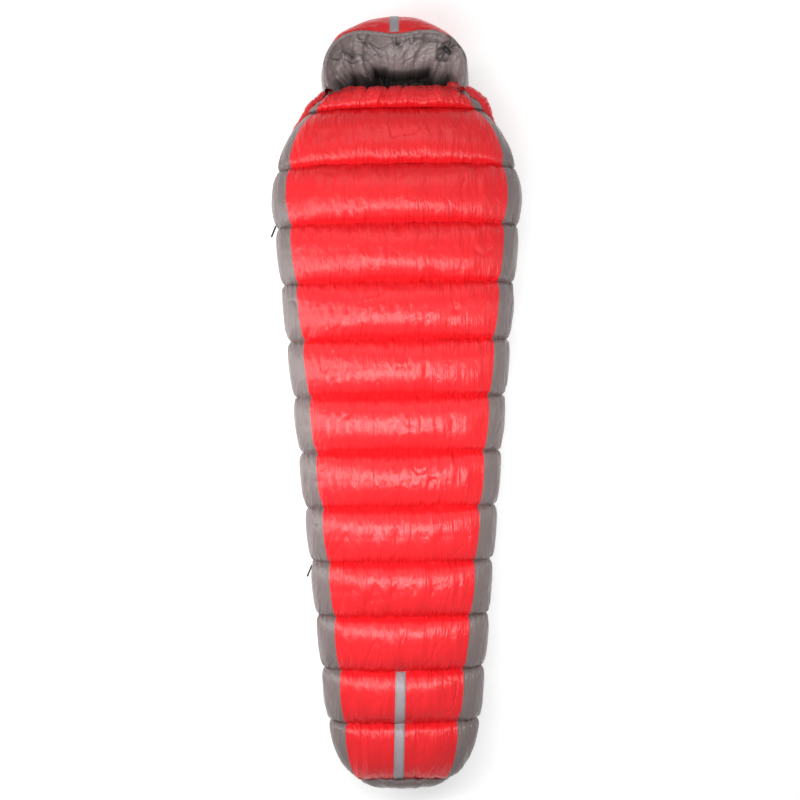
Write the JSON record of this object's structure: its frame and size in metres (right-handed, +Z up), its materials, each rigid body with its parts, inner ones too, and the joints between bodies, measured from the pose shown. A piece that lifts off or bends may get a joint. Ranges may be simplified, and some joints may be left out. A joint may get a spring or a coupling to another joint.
{
  "type": "mummy sleeping bag",
  "caption": "Tapered mummy sleeping bag with quilted down chambers, a drawcord hood, a two-way side zipper and a rounded foot.",
  "frame": {"origin": "on the floor, under the middle of the bag's length and width", "axes": "+Y towards the hood, +X towards the bag's right edge as seen from above, +Z up; the bag lies on its back"},
  "size_m": [0.6777, 2.0949, 0.2748],
  "materials": {
    "red_shell": "satin ripstop nylon, red",
    "grey_shell": "satin ripstop nylon, warm grey",
    "grey_lining": "soft satin taffeta, grey",
    "black_trim": "moulded and woven black trim",
    "zipper_metal": "dark coated zinc",
    "reflective_tape": "grey reflective tape"
  },
  "bodies": {
    "bag": {"bottom_chamber_01": "grey_shell", "bottom_chamber_02": "grey_shell", "bottom_chamber_03": "grey_shell", "bottom_chamber_04": "grey_shell", "bottom_chamber_05": "grey_shell", "bottom_chamber_06": "grey_shell", "bottom_chamber_07": "grey_shell", "bottom_chamber_08": "grey_shell", "bottom_chamber_09": "grey_shell", "bottom_chamber_10": "grey_shell", "bottom_chamber_11": "grey_shell", "bottom_chamber_12": "grey_shell", "bottom_chamber_13": "grey_shell", "brow_roll": "grey_lining", "cheek_roll_left": "grey_lining", "cheek_roll_right": "grey_lining", "closure_patch": "black_trim", "draft_tube": "grey_lining", "foot_end": "grey_shell", "foot_reflective_strip": "reflective_tape", "hood_back": "grey_shell", "hood_crown": "red_shell", "hood_drawcord": "black_trim", "hood_reflective_strip": "reflective_tape", "hood_side_left": "grey_shell", "hood_side_right": "grey_shell", "lining_bottom": "grey_lining", "lining_top": "grey_lining", "rim_channel_left": "grey_shell", "rim_channel_right": "grey_shell", "shoulder_yoke_left": "red_shell", "shoulder_yoke_right": "red_shell", "side_wall_left": "grey_shell", "side_wall_right": "grey_shell", "top_chamber_01": "red_shell", "top_chamber_02": "red_shell", "top_chamber_03": "red_shell", "top_chamber_04": "red_shell", "top_chamber_05": "red_shell", "top_chamber_06": "red_shell", "top_chamber_07": "red_shell", "top_chamber_08": "red_shell", "top_chamber_09": "red_shell", "top_chamber_10": "red_shell", "top_chamber_11": "red_shell", "top_chamber_12": "red_shell", "top_chamber_13": "red_shell", "zipper_bottom_stop": "black_trim", "zipper_tape_lower": "black_trim", "zipper_tape_upper": "black_trim", "zipper_teeth_lower": "black_trim", "zipper_teeth_upper": "black_trim"},
    "upper_slider": {"upper_slider": "zipper_metal"},
    "upper_pull": {"upper_pull": "zipper_metal"},
    "lower_slider": {"lower_slider": "zipper_metal"},
    "lower_pull": {"lower_pull": "zipper_metal"},
    "cordlock": {"cordlock_body": "black_trim", "cordlock_spring": "zipper_metal"},
    "cordlock_plunger": {"cordlock_plunger": "black_trim"},
    "closure_tab": {"closure_tab": "black_trim"}
  },
  "joints": [
    {"name": "upper_slider_slide", "type": "slide", "parent": "bag", "child": "upper_slider", "axis": [0.0912, -0.9958, 0], "range_m": [-0.03, 0.57]},
    {"name": "upper_pull_hinge", "type": "hinge", "parent": "upper_slider", "child": "upper_pull", "pos_m": [-0.32611, 0.49593, 0.097], "axis": [0, 0, -1], "range_deg": [-28, 142]},
    {"name": "lower_slider_slide", "type": "slide", "parent": "bag", "child": "lower_slider", "axis": [-0.0912, 0.9958, 0], "range_m": [0, 0.28]},
    {"name": "lower_pull_hinge", "type": "hinge", "parent": "lower_slider", "child": "lower_pull", "pos_m": [-0.24127, -0.43057, 0.097], "axis": [0, 0, -1], "range_deg": [-28, 142]},
    {"name": "cordlock_slide", "type": "slide", "parent": "bag", "child": "cordlock", "axis": [0.7021, 0.7121, 0], "range_m": [-0.006, 0.007]},
    {"name": "plunger_press", "type": "slide", "parent": "cordlock", "child": "cordlock_plunger", "axis": [0.7121, -0.7021, 0], "range_m": [-0.003, 0], "stiffness_N_per_m": 600, "springref_m": 0.003, "deforming": ["cordlock_spring"]},
    {"name": "closure_tab_hinge", "type": "hinge", "parent": "bag", "child": "closure_tab", "pos_m": [-0.1921, 0.8165, 0.1513], "axis": [0.5, -0.866, 0], "range_deg": [0, 150]}
  ]
}
